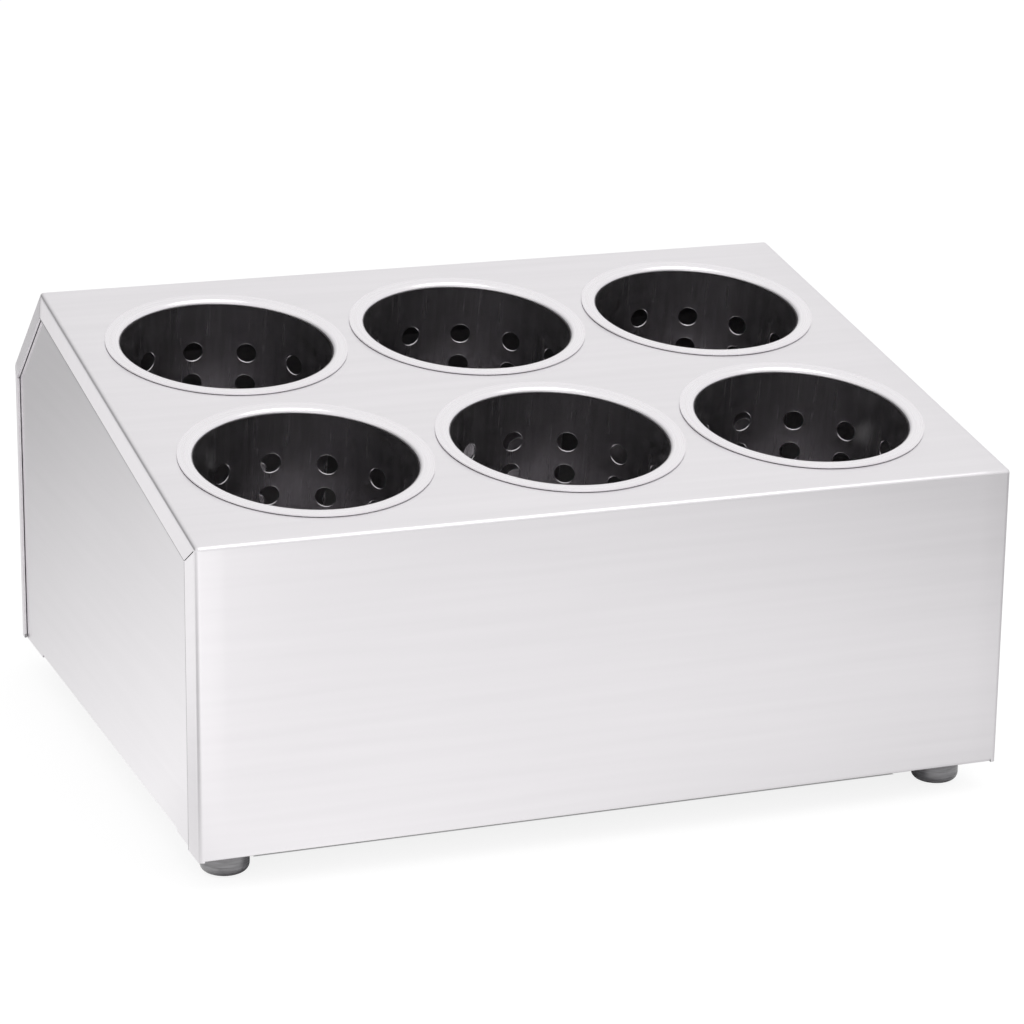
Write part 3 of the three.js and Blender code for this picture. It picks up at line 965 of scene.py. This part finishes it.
def shell_material():
    made, tree, shader = material("shell_steel", (SHEET_TONE,) * 3, 1, SHEET_ROUGHNESS)
    brushed(tree, shader, grain_place(tree), SHELL_HAIR, SHELL_BAND, crowned(tree))
    grain_tangent(tree, shader, SHEET_ANISOTROPY)
    return made


def panel_material():
    """The side panels' grain is level."""
    made, tree, shader = material("panel_steel", (SHEET_TONE,) * 3, 1, SHEET_ROUGHNESS)
    brushed(tree, shader, object_place(tree), PANEL_HAIR, PANEL_BAND)
    tree.links.new(axis_vector(tree, "Z", 1), shader.inputs["Tangent"])
    shader.inputs["Anisotropic"].default_value = SHEET_ANISOTROPY
    return made


def plain_steel(name, tone, roughness):
    """Sheet without a brushed grain: sheared edges and the sides that nobody polished. Its given tone
    carries painted shade on the edges in front of the crest and on the hidden sides, and painted light on
    the edges behind the crest.
    """
    made, tree, shader = material(name, (tone,) * 3, 1, roughness[1])
    mottle = noise(tree, object_place(tree), PLAIN_MOTTLE, detail=4)
    cloud = noise(tree, object_place(tree), PLAIN_CLOUD, detail=3)
    colour = steel_colour(tree, mottle, tone, PLAIN_TONES)
    tree.links.new(colour, shader.inputs["Base Color"])
    tree.links.new(ranged(tree, cloud, *roughness), shader.inputs["Roughness"])
    tree.links.new(bumped(tree, mottle, *PLAIN_BUMP), shader.inputs["Normal"])
    return made


def drawn_steel(name, tone, roughness, hair_scale, streak_scale, turn):
    """Drawn and polished sheet, with faint streaks down the wall or round the rim."""
    made, tree, shader = material(name, (tone,) * 3, 1, roughness[0])
    streak = stretched_noise(tree, grain_place(tree), streak_scale, detail=3)
    hair = stretched_noise(tree, grain_place(tree), hair_scale, detail=2)
    lines = combined(tree, streak, hair, HAIR_SHARE)
    colour = steel_colour(tree, lines, tone, DRAWN_TONES)
    tree.links.new(colour, shader.inputs["Base Color"])
    tree.links.new(ranged(tree, lines, *roughness), shader.inputs["Roughness"])
    tree.links.new(bumped(tree, lines, *DRAWN_BUMP), shader.inputs["Normal"])
    grain_tangent(tree, shader, DRAWN_ANISOTROPY, turn)
    return made


def zinc_material():
    made, tree, shader = material("zinc_steel", ZINC, 1, SHEET_ROUGHNESS)
    mottle = noise(tree, object_place(tree), ZINC_MOTTLE, detail=3)
    colour = mixed_colour(tree, mottle, ZINC_DARK, ZINC_LIGHT)
    tree.links.new(colour, shader.inputs["Base Color"])
    tree.links.new(ranged(tree, mottle, *ZINC_ROUGHNESS), shader.inputs["Roughness"])
    return made


def rubber_material():
    """Smooth moulded rubber with a clear shine and faint level rings."""
    made, tree, shader = material("grey_rubber", RUBBER, 0, sum(RUBBER_ROUGHNESS) / 2)
    shader.inputs["IOR"].default_value = RUBBER_IOR
    grain = noise(tree, object_place(tree), RUBBER_GRAIN, detail=3)
    rings = stretched_noise(tree, object_place(tree), RUBBER_RINGS, detail=2)
    colour = mixed_colour(tree, rings, RUBBER_DARK, RUBBER_LIGHT)
    tree.links.new(colour, shader.inputs["Base Color"])
    tree.links.new(ranged(tree, rings, *RUBBER_ROUGHNESS), shader.inputs["Roughness"])
    tree.links.new(bumped(tree, grain, *RUBBER_BUMP), shader.inputs["Normal"])
    return made


def dress(node, made):
    node.data.materials.clear()
    node.data.materials.append(made)


# Studio

def tones_along(tree, place, way, tones, start, end):
    """Tones that run from start to end along a way."""
    return ranged(tree, vector_step(tree, "DOT_PRODUCT", place, way), *tones, start, end)


def painted_floor_glow(tree, place):
    """The floor's painted glow with its lighter and darker areas, as the steel mirrors it where nothing
    stands on it.
    """
    front = tones_along(tree, place, FRONT_WAY, FRONT_TONES, FRONT_START, FRONT_END)
    left_gain = tones_along(tree, place, LEFT_WAY, (1, LEFT_TONE), LEFT_START, LEFT_END)
    back = tones_along(tree, place, BACK_WAY, BACK_TONES, BACK_START, BACK_END)
    behind = tones_along(tree, place, REARWARDS, (0, 1), REAR_START, REAR_END)
    open_floor = combined(tree, calculated(tree, "MULTIPLY", front, left_gain), back, behind)
    from_dark_patch = vector_step(tree, "DISTANCE", place, DARK_PATCH_CENTRE)
    dark_patch = ranged(tree, from_dark_patch, DARK_PATCH_TONE, LEFT_TONE, DARK_PATCH_RADIUS, DARK_PATCH_SOFT)
    return calculated(tree, "MINIMUM", open_floor, dark_patch)


def beyond_casing(tree, place):
    """How far a place on the floor lies outside the casing's outline. It is less than zero under it."""
    corner = (HALF_WIDTH, DEPTH / 2, 0)
    past = vector_step(tree, "SUBTRACT", vector_step(tree, "ABSOLUTE", place), corner)
    sides = separated(tree, past)
    return calculated(tree, "MAXIMUM", sides["X"], sides["Y"])


def floor_shader(tree, kind, share, tone):
    node = tree.nodes.new(kind)
    tree.links.new(calculated(tree, "MULTIPLY", tone, share), node.inputs["Color"])
    return node.outputs[0]


def build_floor():
    made = bpy.data.materials.new("studio_floor")
    made.use_nodes = True
    tree = made.node_tree
    tree.nodes.clear()
    path = tree.nodes.new("ShaderNodeLightPath").outputs
    place = tree.nodes.new("ShaderNodeNewGeometry").outputs["Position"]
    beyond = beyond_casing(tree, place)

    # Painted shadow under the casing, in the floor that the steel mirrors
    under = ranged(tree, beyond, UNDER_SHADOW_TONE, 1, -MIRROR_UNDER - MIRROR_FADE, -MIRROR_UNDER)
    # Painted light: the floor glows for mirrored rays in its painted tones
    painted_glow = tree.nodes.new("ShaderNodeEmission")
    strength = calculated(tree, "MULTIPLY", painted_floor_glow(tree, place), under)
    tree.links.new(strength, painted_glow.inputs["Strength"])

    # Painted shadow under the casing, on the floor that the eye sees and that throws light back
    tone = ranged(tree, beyond, SEEN_SHADOW_TONE, 1, -SEEN_UNDER - SEEN_FADE, -SEEN_UNDER)
    white = floor_shader(tree, "ShaderNodeBsdfDiffuse", FLOOR_WHITE, tone)
    seen = tree.nodes.new("ShaderNodeAddShader")
    tree.links.new(floor_shader(tree, "ShaderNodeBsdfDiffuse", FLOOR_SHADED, tone), seen.inputs[0])
    tree.links.new(floor_shader(tree, "ShaderNodeEmission", FLOOR_GLOW, tone), seen.inputs[1])

    lit = shader_mix(tree, path["Is Camera Ray"], white, seen.outputs[0])
    mirrored = calculated(tree, "MAXIMUM", path["Is Glossy Ray"], path["Is Transmission Ray"])
    out = tree.nodes.new("ShaderNodeOutputMaterial")
    tree.links.new(shader_mix(tree, mirrored, lit, painted_glow.outputs[0]), out.inputs["Surface"])

    sheet = Sheet()
    sheet.lathe([(0, 0), (FLOOR_RADIUS, 0)], full_turn(ROUND_STEPS))
    sheet.piece("studio_floor", Vector((0, 0, 0)), Vector((0, 0, 1)), [made])


def build_world():
    """A white room to the eye, whose walls and ceiling have the tones that the steel mirrors."""
    world = bpy.data.worlds.new("studio")
    scene.world = world
    world.use_nodes = True
    tree = world.node_tree
    tree.nodes.clear()
    way = tree.nodes.new("ShaderNodeTexCoord").outputs["Generated"]
    horizon = tones_along(tree, way, HORIZON_WAY, HORIZON_TONES, HORIZON_START, HORIZON_END)
    upwards = ranged(tree, separated(tree, way)["Z"], 0, 1, ZENITH_START, ZENITH_END)
    room = tree.nodes.new("ShaderNodeBackground")
    tree.links.new(combined(tree, horizon, ZENITH_TONE, upwards), room.inputs["Strength"])
    white = tree.nodes.new("ShaderNodeBackground")
    seen = tree.nodes.new("ShaderNodeLightPath").outputs["Is Camera Ray"]
    out = tree.nodes.new("ShaderNodeOutputWorld")
    shown = shader_mix(tree, seen, room.outputs[0], white.outputs[0])
    tree.links.new(shown, out.inputs["Surface"])


def build_lamp():
    lamp = bpy.data.lights.new("overhead", "AREA")
    lamp.shape = "RECTANGLE"
    lamp.size = LAMP_WIDTH
    lamp.size_y = LAMP_DEPTH
    lamp.energy = LAMP_WATTS
    holder = bpy.data.objects.new("overhead", lamp)
    scene.collection.objects.link(holder)
    holder.location = LAMP_PLACE
    holder.rotation_euler = (LAMP_TARGET - LAMP_PLACE).to_track_quat("-Z", "Y").to_euler()


def build_camera():
    yaw, pitch, roll = (math.radians(v) for v in (CAMERA_YAW, CAMERA_PITCH, CAMERA_ROLL))
    level = math.cos(pitch)
    ahead = Vector((math.sin(yaw) * level, math.cos(yaw) * level, -math.sin(pitch)))
    level_right = Vector((math.cos(yaw), -math.sin(yaw), 0))
    level_up = level_right.cross(ahead)
    right = level_right * math.cos(roll) + level_up * math.sin(roll)
    up = level_up * math.cos(roll) - level_right * math.sin(roll)
    camera = bpy.data.cameras.new("camera")
    camera.lens = CAMERA_LENS_MM
    camera.sensor_width = CAMERA_SENSOR_MM
    holder = bpy.data.objects.new("camera", camera)
    scene.collection.objects.link(holder)
    axes = Matrix((right, up, -ahead)).transposed()
    target = CAMERA_TARGET + Vector((0, 0, BOTTOM))
    holder.matrix_world = Matrix.Translation(target - ahead * CAMERA_DISTANCE) @ axes.to_4x4()
    scene.camera = holder


# Assembly

build_camera()
build_world()
build_lamp()
build_floor()
scene.view_settings.view_transform = "Standard"

shell_steel = shell_material()
panel_steel = panel_material()
# Painted shade on the cut edges and the returns' edge strips
shaded_edge_steel = plain_steel("shaded_edge_steel", SHADED_EDGE_TONE, EDGE_ROUGHNESS)
# Painted shade on the casing's inside
shaded_inside_steel = plain_steel("shaded_inside_steel", SHADED_INSIDE_TONE, INSIDE_ROUGHNESS)
# Painted light on the edges behind the crest
lit_back_edge_steel = plain_steel("lit_back_edge_steel", LIT_BACK_EDGE_TONE, EDGE_ROUGHNESS)
# Painted shade on the cups' walls and outsides, painted light on their rims and cut edges
shaded_cup_wall = drawn_steel("shaded_cup_wall_steel", SHADED_WALL_TONE, WALL_ROUGHNESS, WALL_HAIR, WALL_STREAKS, 0)
lit_cup_rim = drawn_steel("lit_cup_rim_steel", LIT_RIM_TONE, RIM_ROUGHNESS, RIM_HAIR, RIM_STREAKS, QUARTER_TURN)
shaded_cup_outside = plain_steel("shaded_cup_outside_steel", SHADED_WALL_TONE, CUP_OUTSIDE_ROUGHNESS)
zinc_steel = zinc_material()
grey_rubber = rubber_material()

build_shell([shell_steel, shaded_edge_steel, shaded_inside_steel, lit_back_edge_steel])
for name, turn in CUP_TURNS.items():
    build_cup(name, turn, [shaded_cup_wall, lit_cup_rim, shaded_cup_outside])
build_feet(grey_rubber, zinc_steel)
for name, node in frame["nodes"].items():
    if name.startswith("side_panel"):
        dress(node, panel_steel)
    if name.startswith(("foot_screw", "foot_nut")):
        dress(node, zinc_steel)
